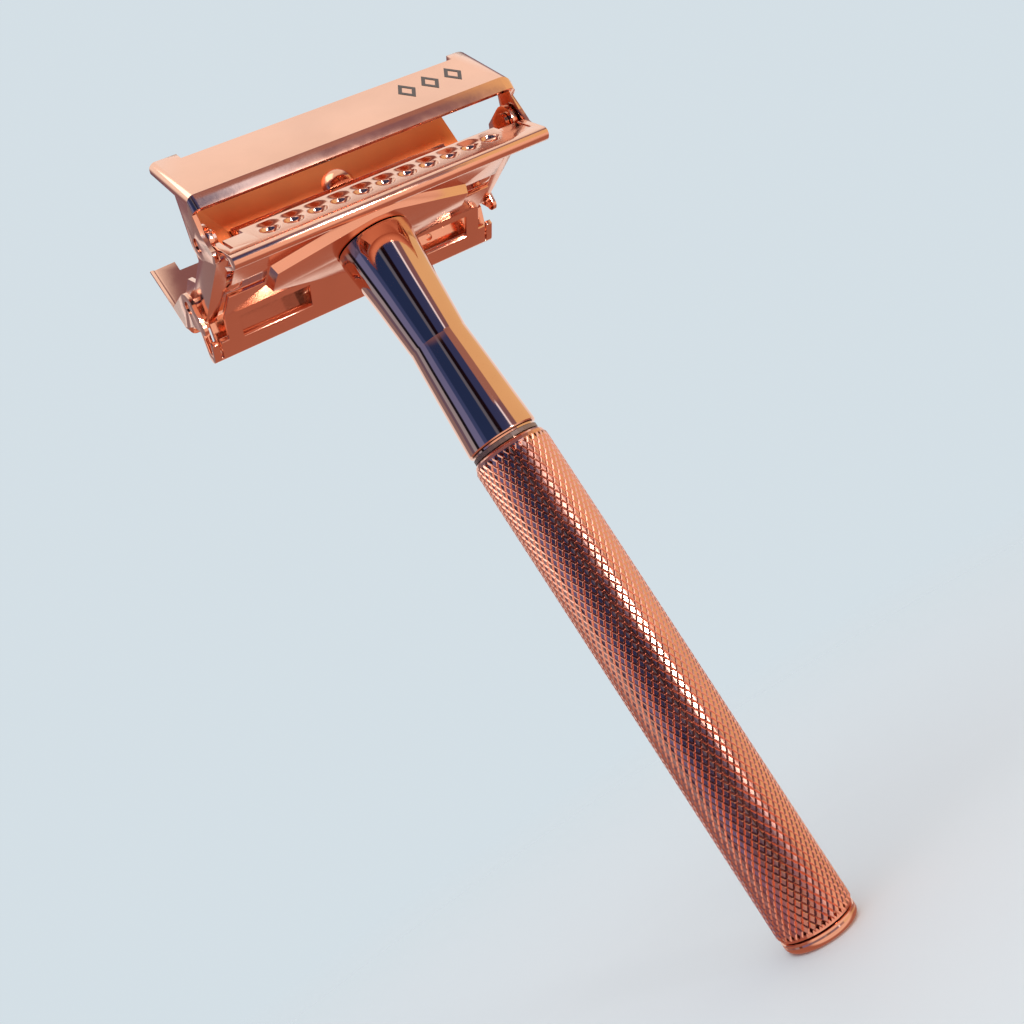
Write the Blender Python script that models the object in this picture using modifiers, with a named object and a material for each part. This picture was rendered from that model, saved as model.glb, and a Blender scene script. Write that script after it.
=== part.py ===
"""A twist-to-open double-edge safety razor, standing on the end of its handle with both doors open.

Frame: +Z runs up the handle to the head, X runs along the head, and the origin is the middle of
the handle's flat end. Heights on the head are given from the guard's lip, which is LIP_Z up.
"""

import math

import bmesh
import bpy

MM = 0.001

# Driving dimensions, in millimetres.
LIP_Z = 96.0  # from the handle's end up to the middle of the guard's lip
HEAD_LENGTH = 43.1
TRAVEL = 5.0  # how far the bridge drops as the head closes
GAP = 0.1  # between pieces that touch

SHEET = 0.6  # stamped guard and brackets
SEAT_Y = 9.05  # outer edge of the ridge that the blade lies on
SEAT_Z = 4.7
SEAT_WIDTH = 0.6
SEAT_HALF_LENGTH = 17.7
FLOOR_Z = 2.3  # underside of the guard's flat floor
FLOOR_HALF_WIDTH = 6.3
FLOOR_FOLD = 0.16  # how much further out the floor's upper fold lies than its lower one
GUTTER_Y = 11.3  # the gutter's bottom, inside the lip, and where it meets the strip's back
GUTTER_Z = 0.15
GUTTER_BACK = (11.6, 0.86)
LIP_Y = 11.75
LIP_HEIGHT = 0.3
LIP_RADIUS = 0.85
SCALLOP_COUNT = 11
SCALLOP_PITCH = 3.05
SCALLOP_HALF_LENGTH = 0.85  # along the strip
SCALLOP_HALF_HEIGHT = 1.25  # up its slope
SCALLOP_DEPTH = 0.4
SCALLOP_UP = 2.35  # from the slope's lower edge to the middle of a scallop
STRIP_RUN = 3.4  # the slope's run and rise, for its direction
STRIP_RISE = 3.9
STRIP_LENGTH = math.hypot(STRIP_RUN, STRIP_RISE)
WINDOW_INNER_X = 7.3
WINDOW_OUTER_X = 17.2
WINDOW_INNER_Y = 7.0
WINDOW_OUTER_Y = 9.8
WINDOW_TOP_Z = 2.4
SEAT_END_Z = 3.9  # the strips' tops step down to this height past the blade's ends
END_NOTCH_X = 19.2  # the guard's floor stops here, to let the brackets drop past it
END_NOTCH_Y = 9.4
END_NOTCH_TOP_Z = 4.2
LIP_SLIT_X = (20.3, 20.65)
LIP_SLIT_Y = (8.9, 11.5)
SLOT_INNER_X = 14.4
SLOT_HALF_WIDTH = 1.5
SLOT_TOP_Z = 3.6
SPINDLE_HOLE_RADIUS = 1.9
CUT_PAST_X = 23.5  # cutters that open the guard's ends reach this far
CUT_LOW_Z = -3.5
BOSS_HALF_LENGTH = 13.8
BOSS_END_HALF_WIDTH = 2.1
BOSS_MIDDLE_HALF_WIDTH = 6.2
BOSS_MIDDLE_HALF_LENGTH = 1.5
BOSS_Z = 1.1
BOSS_SPREAD = (1.03, 1.12)  # how much wider the boss is at its top, along X and along Y

PIVOT_Y = 7.4
PIVOT_Z = 5.58
PIN_RADIUS = 0.75
PIN_END_X = 22.0
PIN_HEAD_RADIUS = 1.15
PIN_HEAD = 0.5
DOOR_SHEET = 0.7
DOOR_HALF_LENGTH = 22.15
DOOR_LEG = 0.5
DOOR_ROOF_DEG = 15.0
DOOR_BEVEL_DEG = 50.0
DOOR_ROOF = 8.8
DOOR_BEVEL = 1.7
DOOR_CENTRE = (-7.2, 8.0)  # closed, from the pivot: outwards, up
DOOR_TAB = 3.5
DOOR_RECESS = 1.1
DOOR_SHANK = [(-1.8, 0.0), (-1.7, 6.2), (1.0, 5.5), (1.95, 4.3), (2.1, 1.5)]  # a leg's edges
DOOR_FOOT_RADIUS = 1.8
TOE_LENGTH = 3.2
TOE_RADIUS = 0.85
TOE_DEG = 77.5  # outwards from straight down, closed
FRONT_OPEN_DEG = 44.0
REAR_OPEN_DEG = 78.0

BRACKET_X = 21.3  # outer face of a bracket's wall
BRACKET_BASE_Z = 2.9
BRACKET_HALF_WIDTH = 7.0
BRACKET_INNER_X = 19.8
BRACKET_FLARE = 0.4  # how much wider the folded base is than the wall
TONGUE_X = 17.2
RIVET_X = 18.4
RIVET_RADIUS = 0.5
EAR_RADIUS = 1.95
EAR_NOTCH = [(4.2, 7.6), (2.6, 6.1)]  # the shallow dip between the ears
BRIDGE_TOP_Z = 8.9
BRIDGE_SHEET = 0.8
BRIDGE_LEG_X = 15.4
BRIDGE_HALF_WIDTH = 1.2
BALL_RADIUS = 2.15
BALL_Z = 9.35
TENON_ABOVE_BALL = 0.6
SPINE_HALF_LENGTH = 17.9  # the spine stands in the blade's long slot and between the closed doors
SPINE_TOP_Z = 14.6
SPINE_FOOT_Z = 6.4
SPINE_SHEET = 0.8

SPINDLE_RADIUS = 1.5
TENON_RADIUS = 1.0
SPINDLE_LOW_Z = -52.0
NECK_BORE = 2.1
BUSH_RADIUS = 2.7
BUSH_LENGTH = 2.4
WAIST_Z = -13.9
WAIST_RADIUS = 3.8
NECK_LOW_Z = -28.3
SPIGOT_RADIUS = 3.6
SPIGOT_LOW_Z = -38.0
RING_TOP_Z = -36.4
RING_THICKNESS = 0.7
RING_GROOVE_RADIUS = 3.2
RING_OPEN_DEG = 16.0  # half of the ring's opening
WASHER_THICKNESS = 0.5
WASHER_RADIUS = 4.4
GRIP_RADIUS = 4.95
GRIP_TOP_Z = -29.4
GRIP_LOW_Z = -94.4
GRIP_SHOULDER_Z = -34.8
GRIP_GUIDE_RADIUS = 3.75
GRIP_BORE = 4.15
GRIP_CHAMFER = 0.45
NUT_TOP_Z = -42.0
NUT_LENGTH = 8.0
CAP_PLUG_Z = -88.0
CAP_EDGE = [(4.85, -95.2), (4.7, -95.65), (4.3, -LIP_Z)]
WAVE_HEIGHT = 0.35
WAVE_HALF_SHEET = 0.12
WAVE_COUNT = 3

ROUND_STEPS = 32
PIN_STEPS = 16

ROSE_GOLD = (0.80, 0.42, 0.32, 1.0)
BRASS = (0.78, 0.60, 0.30, 1.0)
STEEL = (0.62, 0.62, 0.64, 1.0)
NYLON = (0.16, 0.09, 0.07, 1.0)


def clear_scene():
    for obj in list(bpy.data.objects):
        bpy.data.objects.remove(obj, do_unlink=True)


def collection(name):
    made = bpy.data.collections.new(name)
    bpy.context.scene.collection.children.link(made)
    return made


def material(name, colour, roughness, metallic):
    made = bpy.data.materials.new(name)
    made.use_nodes = True
    shader = made.node_tree.nodes["Principled BSDF"]
    shader.inputs["Base Color"].default_value = colour
    shader.inputs["Roughness"].default_value = roughness
    shader.inputs["Metallic"].default_value = metallic
    return made


def new_object(name, mesh, owner, finish=None):
    obj = bpy.data.objects.new(name, mesh)
    owner.objects.link(obj)
    if finish:
        mesh.materials.clear()
        mesh.materials.append(finish)
    return obj


def arc(centre, radius, start_deg, end_deg, steps):
    """Points on a circle from one angle to another, both ends included."""
    angles = [math.radians(start_deg + (end_deg - start_deg) * i / steps) for i in range(steps + 1)]
    return [(centre[0] + radius * math.cos(a), centre[1] + radius * math.sin(a)) for a in angles]


def round_hole(centre, radius):
    """A closed loop of points for a small round hole."""
    return arc(centre, radius, 0.0, 360.0 - 360.0 / PIN_STEPS, PIN_STEPS - 1)


def mirrored(points):
    """An outline's right half, from bottom to top, followed by its mirror image."""
    return points + [(-x, y) for x, y in reversed(points)]


def outline_mesh(name, loops, half_thickness):
    """Loops of (x, y) in millimetres, filled and extruded along Z: the outside, then any holes."""
    curve = bpy.data.curves.new(name, "CURVE")
    curve.dimensions = "2D"
    curve.fill_mode = "BOTH"
    curve.extrude = half_thickness * MM
    for loop in loops:
        spline = curve.splines.new("POLY")
        spline.points.add(len(loop) - 1)
        for point, (x, y) in zip(spline.points, loop):
            point.co = (x * MM, y * MM, 0.0, 1.0)
        spline.use_cyclic_u = True
    holder = bpy.data.objects.new(name, curve)
    bpy.context.scene.collection.objects.link(holder)
    bpy.context.view_layer.update()
    evaluated = holder.evaluated_get(bpy.context.evaluated_depsgraph_get())
    mesh = bpy.data.meshes.new_from_object(evaluated)
    bpy.data.objects.remove(holder, do_unlink=True)
    bpy.data.curves.remove(curve)
    weld(mesh)
    return mesh


def weld(mesh):
    work = bmesh.new()
    work.from_mesh(mesh)
    bmesh.ops.remove_doubles(work, verts=work.verts, dist=1e-7)
    bmesh.ops.recalc_face_normals(work, faces=work.faces)
    work.to_mesh(mesh)
    work.free()


def stand_up(mesh, middle_x):
    """Turns an outline drawn in (y, z) so that it stands across X, with its middle at middle_x."""
    for vertex in mesh.vertices:
        y, z, x = vertex.co
        vertex.co = (x + middle_x * MM, y, z)


def lay_along(mesh):
    """Turns an outline drawn in (x, z) so that it stands along X, extruded along Y."""
    for vertex in mesh.vertices:
        x, z, y = vertex.co
        vertex.co = (x, -y, z)


def raise_mesh(mesh, height):
    for vertex in mesh.vertices:
        vertex.co.z += height * MM


def box(work, low, high):
    """Adds a box between two corners, in millimetres, to a bmesh."""
    size = [(b - a) * MM for a, b in zip(low, high)]
    made = bmesh.ops.create_cube(work, size=1.0)["verts"]
    for vertex in made:
        for i in range(3):
            vertex.co[i] = vertex.co[i] * size[i] + (low[i] + high[i]) / 2 * MM


def drill(work, radius, length, x=0.0, z=0.0, steps=ROUND_STEPS):
    """Adds an upright cylinder to a bmesh, in millimetres."""
    made = bmesh.ops.create_cone(
        work, cap_ends=True, segments=steps, radius1=radius * MM, radius2=radius * MM, depth=length * MM
    )["verts"]
    for vertex in made:
        vertex.co.x += x * MM
        vertex.co.z += z * MM


def cutter(name, build, raised=True):
    """A hidden mesh that build fills with shapes for a Boolean to take away."""
    mesh = bpy.data.meshes.new(name)
    work = bmesh.new()
    build(work)
    work.to_mesh(mesh)
    work.free()
    if raised:
        raise_mesh(mesh, LIP_Z)
    obj = new_object(name, mesh, CUTTERS)
    obj.hide_render = True
    obj.display_type = "WIRE"
    return obj


def boolean(obj, other, operation):
    modifier = obj.modifiers.new(other.name, "BOOLEAN")
    modifier.operation = operation
    modifier.object = other


def helper(name, mesh):
    """A hidden solid that a Boolean joins to its owner."""
    obj = new_object(name, mesh, CUTTERS)
    obj.hide_render = True
    obj.display_type = "WIRE"
    return obj


def turned(name, profile, finish, steps=ROUND_STEPS, closed=True):
    """A profile of (radius, height) turned about Z, outer side first and top to bottom."""
    mesh = bpy.data.meshes.new(name)
    work = bmesh.new()
    points = [work.verts.new((r * MM, 0.0, (z + LIP_Z) * MM)) for r, z in profile]
    for a, b in zip(points, points[1:]):
        work.edges.new((a, b))
    if closed:
        work.edges.new((points[-1], points[0]))
    work.to_mesh(mesh)
    work.free()
    obj = new_object(name, mesh, RAZOR, finish)
    screw = obj.modifiers.new("turn", "SCREW")
    screw.axis = "Z"
    screw.steps = steps
    screw.render_steps = steps
    screw.use_merge_vertices = True
    screw.merge_threshold = 1e-6
    screw.use_smooth_shade = True
    return obj


def bar_outline():
    """One long side of the guard in (y, z): floor, lip, scalloped strip and the gutter between them."""
    slope = math.atan2(FLOOR_Z - LIP_HEIGHT + LIP_RADIUS, GUTTER_Y - FLOOR_HALF_WIDTH)
    under = -90.0 - math.degrees(slope)
    outward = (STRIP_RISE / STRIP_LENGTH, STRIP_RUN / STRIP_LENGTH)
    over = math.degrees(math.atan2(outward[1], outward[0]))
    inner_top = (SEAT_Y - SHEET * outward[0], SEAT_Z - SHEET * outward[1])
    lip = arc((LIP_Y, LIP_HEIGHT), LIP_RADIUS, under, over, 8)
    outside = [(FLOOR_HALF_WIDTH, FLOOR_Z)] + lip + [(SEAT_Y, SEAT_Z), (SEAT_Y - SEAT_WIDTH, SEAT_Z)]
    inner_fold = (FLOOR_HALF_WIDTH + FLOOR_FOLD, FLOOR_Z + SHEET)
    gutter = [inner_top, GUTTER_BACK, (GUTTER_Y, GUTTER_Z), inner_fold]
    return outside + gutter


def scallop_cutter(work, x, side):
    """A blunt oval punch, set square to the slope so that it sinks into it by the scallop's depth."""
    half_depth = 1.0
    out_y = STRIP_RISE / STRIP_LENGTH
    out_z = STRIP_RUN / STRIP_LENGTH
    rise = half_depth - SCALLOP_DEPTH
    centre_y = LIP_Y + (LIP_RADIUS + rise) * out_y - SCALLOP_UP * out_z
    centre_z = LIP_HEIGHT + (LIP_RADIUS + rise) * out_z + SCALLOP_UP * out_y
    made = bmesh.ops.create_cone(
        work, cap_ends=True, segments=PIN_STEPS, radius1=MM, radius2=MM, depth=2 * half_depth * MM
    )["verts"]
    for vertex in made:
        u, v, w = vertex.co.x * SCALLOP_HALF_LENGTH, vertex.co.y * SCALLOP_HALF_HEIGHT, vertex.co.z
        y = centre_y * MM + w * out_y - v * out_z
        z = centre_z * MM + w * out_z + v * out_y
        vertex.co = (u + x * MM, side * y, z)


def scallops(work):
    for side in (-1, 1):
        for i in range(SCALLOP_COUNT):
            scallop_cutter(work, (i - (SCALLOP_COUNT - 1) / 2) * SCALLOP_PITCH, side)
    bmesh.ops.recalc_face_normals(work, faces=work.faces)


def mirrored_boxes(work, low, high):
    """Adds a box and its mirror images across both of the head's upright middle planes."""
    for x in (-1, 1):
        for y in (-1, 1):
            xs = sorted((x * low[0], x * high[0]))
            ys = sorted((y * low[1], y * high[1]))
            box(work, (xs[0], ys[0], low[2]), (xs[1], ys[1], high[2]))


def guard_openings(work):
    """Windows in the floor and the strips' lower upper ends."""
    mirrored_boxes(
        work, (WINDOW_INNER_X, WINDOW_INNER_Y, -1.0), (WINDOW_OUTER_X, WINDOW_OUTER_Y, WINDOW_TOP_Z)
    )
    past_seat = (CUT_PAST_X, LIP_Y - LIP_RADIUS, SEAT_Z + 1.0)
    mirrored_boxes(work, (SEAT_HALF_LENGTH, SEAT_Y - 1.5, SEAT_END_Z), past_seat)


def end_notches(work):
    """The guard's ends are open up to the strips, so that the brackets can drop past them."""
    for x in (-1, 1):
        ends = sorted((x * END_NOTCH_X, x * CUT_PAST_X))
        box(work, (ends[0], -END_NOTCH_Y, CUT_LOW_Z), (ends[1], END_NOTCH_Y, END_NOTCH_TOP_Z))


def lip_slits(work):
    """Narrow cuts near the strips' ends."""
    low = (LIP_SLIT_X[0], LIP_SLIT_Y[0], CUT_LOW_Z)
    high = (LIP_SLIT_X[1], LIP_SLIT_Y[1], SEAT_Z + 1.0)
    mirrored_boxes(work, low, high)


def bridge_slots(work):
    for x in (-1, 1):
        ends = sorted((x * SLOT_INNER_X, x * CUT_PAST_X))
        box(work, (ends[0], -SLOT_HALF_WIDTH, CUT_LOW_Z), (ends[1], SLOT_HALF_WIDTH, SLOT_TOP_Z))


def spindle_hole(work):
    drill(work, SPINDLE_HOLE_RADIUS, 12.0)


def make_boss():
    """The cast saddle under the guard's floor: a long hexagon that narrows towards its underside."""
    ends = [(BOSS_HALF_LENGTH, BOSS_END_HALF_WIDTH), (BOSS_MIDDLE_HALF_LENGTH, BOSS_MIDDLE_HALF_WIDTH)]
    quarter = [(x, -y) for x, y in reversed(ends)] + ends
    depth = FLOOR_Z + SHEET / 2 - BOSS_Z
    mesh = outline_mesh("boss", [mirrored(quarter)], depth / 2)
    for vertex in mesh.vertices:
        if vertex.co.z > 0:
            vertex.co.x *= BOSS_SPREAD[0]
            vertex.co.y *= BOSS_SPREAD[1]
        vertex.co.z += (BOSS_Z + depth / 2 + LIP_Z) * MM
    return helper("boss", mesh)


def make_guard():
    side = bar_outline()
    mesh = outline_mesh("guard_plate", [mirrored(side)], HEAD_LENGTH / 2)
    stand_up(mesh, 0.0)
    raise_mesh(mesh, LIP_Z)
    guard = new_object("guard_plate", mesh, RAZOR, ROSE_SATIN)
    boolean(guard, cutter("guard_openings", guard_openings), "DIFFERENCE")
    boolean(guard, cutter("end_notches", end_notches), "DIFFERENCE")
    boolean(guard, cutter("lip_slits", lip_slits), "DIFFERENCE")
    boolean(guard, cutter("scallop_punches", scallops), "DIFFERENCE")
    boolean(guard, make_boss(), "UNION")
    boolean(guard, cutter("bridge_slots", bridge_slots), "DIFFERENCE")
    boolean(guard, cutter("spindle_drill", spindle_hole), "DIFFERENCE")
    return guard


def door_section():
    """The door's folded sheet in (outwards, up) from the pivot, closed."""
    roof = math.radians(DOOR_ROOF_DEG)
    bevel = math.radians(DOOR_BEVEL_DEG)
    fold = (DOOR_CENTRE[0] + DOOR_ROOF * math.cos(roof), DOOR_CENTRE[1] - DOOR_ROOF * math.sin(roof))
    clamp = (fold[0] + DOOR_BEVEL * math.cos(bevel), fold[1] - DOOR_BEVEL * math.sin(bevel))
    roof_in = (-math.sin(roof), -math.cos(roof))
    bevel_in = (-math.sin(bevel), -math.cos(bevel))
    share = DOOR_SHEET / (1 + roof_in[0] * bevel_in[0] + roof_in[1] * bevel_in[1])
    inner_fold = tuple(fold[i] + (roof_in[i] + bevel_in[i]) * share for i in range(2))
    inner_clamp = tuple(clamp[i] + bevel_in[i] * DOOR_SHEET for i in range(2))
    inner_centre = tuple(DOOR_CENTRE[i] + roof_in[i] * DOOR_SHEET for i in range(2))
    return [DOOR_CENTRE, inner_centre, inner_fold, inner_clamp, clamp, fold]


def leg_outline():
    """A door's end leg in (outwards, up) from the pivot, closed: a foot round the pin and a toe."""
    toe = math.radians(TOE_DEG)
    tip = (TOE_LENGTH * math.sin(toe), -TOE_LENGTH * math.cos(toe))
    toe_end = arc(tip, TOE_RADIUS, TOE_DEG, TOE_DEG - 180.0, 8)
    foot = arc((0.0, 0.0), DOOR_FOOT_RADIUS, -62.0, -170.0, 7)
    return DOOR_SHANK + toe_end + foot


def flip(points, side):
    return [(side * x, y) for x, y in points]


def make_door(name, side, open_deg):
    """A door on the side given by side, hinged on its own origin."""
    mesh = outline_mesh(name, [flip(door_section(), side)], DOOR_HALF_LENGTH)
    stand_up(mesh, 0.0)
    door = new_object(name, mesh, RAZOR, ROSE_SATIN)

    def recess(work):
        edge = DOOR_CENTRE[0] + DOOR_RECESS
        ends = sorted((side * (DOOR_CENTRE[0] - 2.0), side * edge))
        half = DOOR_HALF_LENGTH - DOOR_TAB
        box(work, (-half, ends[0], DOOR_CENTRE[1] - 2.5), (half, ends[1], DOOR_CENTRE[1] + 2.0))

    cut = cutter(f"{name}_recess", recess, raised=False)
    boolean(door, cut, "DIFFERENCE")
    pieces = [cut]
    for end in (-1, 1):
        hole = round_hole((0.0, 0.0), PIN_RADIUS + GAP)
        leg_mesh = outline_mesh(f"{name}_leg", [flip(leg_outline(), side), hole], DOOR_LEG / 2)
        stand_up(leg_mesh, end * (DOOR_HALF_LENGTH - DOOR_LEG / 2 - 0.001))
        leg = helper(f"{name}_leg_{end}", leg_mesh)
        boolean(door, leg, "UNION")
        pieces.append(leg)
    for piece in [door] + pieces:
        piece.location = (0.0, side * PIVOT_Y * MM, (PIVOT_Z + LIP_Z) * MM)
        piece.rotation_euler = (math.radians(-side * open_deg), 0.0, 0.0)
    return door


def bracket_wall():
    """A bracket's end wall in (y, z): an ear round each pin and a shallow notch between them."""
    ear = arc((PIVOT_Y, PIVOT_Z), EAR_RADIUS, -80.0, 95.0, 9)
    return mirrored([(BRACKET_HALF_WIDTH, BRACKET_BASE_Z)] + ear + EAR_NOTCH)


def make_bracket(name, end):
    holes = [round_hole((side * PIVOT_Y, PIVOT_Z), PIN_RADIUS + GAP / 2) for side in (-1, 1)]
    mesh = outline_mesh(name, [bracket_wall()] + holes, SHEET / 2)
    stand_up(mesh, end * (BRACKET_X - SHEET / 2))
    raise_mesh(mesh, LIP_Z)
    bracket = new_object(name, mesh, RAZOR, ROSE_SATIN)
    outer = BRACKET_X - 0.001
    inner = BRACKET_INNER_X
    half = BRACKET_HALF_WIDTH + BRACKET_FLARE
    foot = [
        (outer, -BRACKET_HALF_WIDTH + 0.001), (outer, BRACKET_HALF_WIDTH - 0.001), (inner + 0.5, half),
        (inner, half - 0.8), (inner - 0.3, BRIDGE_HALF_WIDTH), (TONGUE_X, BRIDGE_HALF_WIDTH),
        (TONGUE_X, -BRIDGE_HALF_WIDTH), (inner - 0.3, -BRIDGE_HALF_WIDTH), (inner, -half + 0.8),
        (inner + 0.5, -half),
    ]
    hole = round_hole((end * RIVET_X, 0.0), RIVET_RADIUS + GAP)
    base_mesh = outline_mesh(f"{name}_base", [flip(foot, end), hole], SHEET / 2)
    raise_mesh(base_mesh, BRACKET_BASE_Z + SHEET / 2 + 0.001 + LIP_Z)
    boolean(bracket, helper(f"{name}_base", base_mesh), "UNION")
    return bracket


def make_bridge():
    """The strip that joins the brackets over the blade's seat, drawn in (x, z)."""
    top = BRIDGE_TOP_Z
    under = top - BRIDGE_SHEET
    leg_in = BRIDGE_LEG_X - BRIDGE_SHEET
    foot_low = BRACKET_BASE_Z + SHEET + GAP
    foot_top = foot_low + BRIDGE_SHEET
    foot_end = BRACKET_X - SHEET - 0.3
    half = [(leg_in, under), (leg_in, foot_low), (foot_end, foot_low), (foot_end, foot_top),
            (BRIDGE_LEG_X, foot_top), (BRIDGE_LEG_X, top)]
    mesh = outline_mesh("lift_bridge", [mirrored(half)], BRIDGE_HALF_WIDTH)
    lay_along(mesh)
    raise_mesh(mesh, LIP_Z)
    bridge = new_object("lift_bridge", mesh, RAZOR, ROSE_SATIN)

    def drills(work):
        drill(work, TENON_RADIUS + GAP, 3.0, z=top)
        for x in (-RIVET_X, RIVET_X):
            drill(work, RIVET_RADIUS + GAP, 3.0, x, foot_low, PIN_STEPS)

    boolean(bridge, cutter("bridge_drills", drills), "DIFFERENCE")
    return bridge


def make_rivet(name, x):
    """A round-headed rivet through a bracket's tongue and the bridge's foot."""
    low = BRACKET_BASE_Z - GAP
    high = BRACKET_BASE_Z + SHEET + GAP + BRIDGE_SHEET + GAP
    head = 0.3
    wide = RIVET_RADIUS + 0.4
    profile = [(0.0, high + head), (wide * 0.7, high + head * 0.7), (wide, high), (RIVET_RADIUS, high),
               (RIVET_RADIUS, low), (wide, low), (wide * 0.7, low - head * 0.7), (0.0, low - head)]
    rivet = turned(name, profile, ROSE_SATIN, steps=PIN_STEPS, closed=False)
    rivet.location.x = x * MM
    return rivet


def make_pin(name, end, side):
    """A headed pivot pin, held in the bracket, that a door's leg turns on."""
    head = BRACKET_X - SHEET - GAP - PIN_END_X
    profile = [(0.0, 0.0), (PIN_RADIUS, 0.0), (PIN_RADIUS, head), (PIN_HEAD_RADIUS, head),
               (PIN_HEAD_RADIUS, head - PIN_HEAD), (0.0, head - PIN_HEAD)]
    pin = turned(name, [(r, z - LIP_Z) for r, z in profile], ROSE_SATIN, steps=PIN_STEPS, closed=False)
    pin.location = (end * PIN_END_X * MM, side * PIVOT_Y * MM, (PIVOT_Z + LIP_Z) * MM)
    pin.rotation_euler = (0.0, math.radians(90.0 * end), 0.0)
    return pin


def make_spindle():
    seat = BRIDGE_TOP_Z - BRIDGE_SHEET - GAP
    high = BALL_Z + TENON_ABOVE_BALL
    tenon = [(0.0, high), (TENON_RADIUS, high), (TENON_RADIUS, seat)]
    shaft = [(SPINDLE_RADIUS, seat), (SPINDLE_RADIUS, SPINDLE_LOW_Z + 0.4)]
    profile = tenon + shaft + [(SPINDLE_RADIUS - 0.4, SPINDLE_LOW_Z), (0.0, SPINDLE_LOW_Z)]
    return turned("spindle", profile, STEEL_PLAIN, closed=False)


def make_spine():
    """The upright plate that the blade's slot drops over, with a round stud riveted on the spindle."""
    base = BRIDGE_TOP_Z + GAP
    inner = BRIDGE_LEG_X + GAP
    half = [(inner, base), (inner, SPINE_FOOT_Z), (SPINE_HALF_LENGTH, SPINE_FOOT_Z),
            (SPINE_HALF_LENGTH, SPINE_TOP_Z)]
    mesh = outline_mesh("blade_spine", [mirrored(half)], SPINE_SHEET / 2)
    lay_along(mesh)
    raise_mesh(mesh, LIP_Z)
    spine = new_object("blade_spine", mesh, RAZOR, ROSE_SATIN)
    low_deg = math.degrees(math.asin((base + 0.02 - BALL_Z) / BALL_RADIUS))
    dome = arc((0.0, BALL_Z), BALL_RADIUS, 90.0, low_deg, 10)
    dome[0] = (0.0, BALL_Z + BALL_RADIUS)
    bore = TENON_RADIUS + GAP
    bore_top = BALL_Z + TENON_ABOVE_BALL + GAP
    inside = [(bore, base + 0.02), (bore, bore_top), (0.0, bore_top)]
    stud = turned("stud", dome + inside, ROSE_SATIN, closed=False)
    RAZOR.objects.unlink(stud)
    CUTTERS.objects.link(stud)
    stud.hide_render = True
    stud.display_type = "WIRE"

    def tenon_drill(work):
        drill(work, bore, 2.0, z=BALL_Z - 0.3)

    boolean(spine, stud, "UNION")
    boolean(spine, cutter("tenon_drill", tenon_drill), "DIFFERENCE")
    return spine


def make_neck():
    """The turned neck: flare, waist, cone, then a spigot that the grip turns on."""
    top = BOSS_Z - GAP
    flare = [(4.95, top), (4.78, -1.2), (4.45, -4.5), (4.15, -9.0), (WAIST_RADIUS, WAIST_Z)]
    cone = [(4.2, -20.5), (4.62, NECK_LOW_Z + 0.2), (4.5, NECK_LOW_Z), (4.2, NECK_LOW_Z - 0.3)]
    groove_low = RING_TOP_Z - RING_THICKNESS - GAP
    spigot = [(SPIGOT_RADIUS, NECK_LOW_Z - 0.3), (SPIGOT_RADIUS, RING_TOP_Z + GAP),
              (RING_GROOVE_RADIUS, RING_TOP_Z + GAP), (RING_GROOVE_RADIUS, groove_low),
              (SPIGOT_RADIUS, groove_low), (SPIGOT_RADIUS, SPIGOT_LOW_Z)]
    bore = [(NECK_BORE, SPIGOT_LOW_Z), (NECK_BORE, top - BUSH_LENGTH), (BUSH_RADIUS, top - BUSH_LENGTH),
            (BUSH_RADIUS, top)]
    return turned("neck", flare + cone + spigot + bore, ROSE_POLISHED)


def make_bush():
    top = BOSS_Z - 2 * GAP
    low = BOSS_Z - BUSH_LENGTH
    outer = BUSH_RADIUS - GAP
    inner = SPINDLE_RADIUS + GAP
    return turned("guide_bush", [(outer, top), (outer, low), (inner, low), (inner, top)], BRASS_PLAIN)


def make_thrust_washer():
    top = NECK_LOW_Z - 0.4
    low = top - WASHER_THICKNESS
    inner = SPIGOT_RADIUS + GAP
    profile = [(WASHER_RADIUS, top), (WASHER_RADIUS, low), (inner, low), (inner, top)]
    return turned("thrust_washer", profile, NYLON_PLAIN)


def make_wave_washer():
    """A sprung washer under the grip's shoulder: its height rises and falls three times a turn."""
    middle = (GRIP_SHOULDER_Z + RING_TOP_Z) / 2
    inner = SPIGOT_RADIUS + GAP
    outer = GRIP_BORE - GAP
    high = middle + WAVE_HALF_SHEET
    low = middle - WAVE_HALF_SHEET
    profile = [(outer, high), (outer, low), (inner, low), (inner, high)]
    flat = turned("wave_washer_flat", profile, STEEL_PLAIN, steps=48)
    bpy.context.view_layer.update()
    mesh = bpy.data.meshes.new_from_object(flat.evaluated_get(bpy.context.evaluated_depsgraph_get()))
    bpy.data.objects.remove(flat, do_unlink=True)
    for vertex in mesh.vertices:
        angle = math.atan2(vertex.co.y, vertex.co.x)
        vertex.co.z += WAVE_HEIGHT * math.sin(WAVE_COUNT * angle) * MM
    weld(mesh)
    return new_object("wave_washer", mesh, RAZOR, STEEL_PLAIN)


def make_retaining_ring():
    """A split ring that snaps into the spigot's groove: an open circle of flat wire."""
    inner = RING_GROOVE_RADIUS + GAP
    outer = GRIP_BORE - GAP
    loop = arc((0.0, 0.0), outer, RING_OPEN_DEG, 360.0 - RING_OPEN_DEG, 30)
    loop += arc((0.0, 0.0), inner, 360.0 - RING_OPEN_DEG, RING_OPEN_DEG, 30)
    mesh = outline_mesh("retaining_ring", [loop], RING_THICKNESS / 2)
    raise_mesh(mesh, RING_TOP_Z - RING_THICKNESS / 2 + LIP_Z)
    return new_object("retaining_ring", mesh, RAZOR, STEEL_PLAIN)


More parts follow.
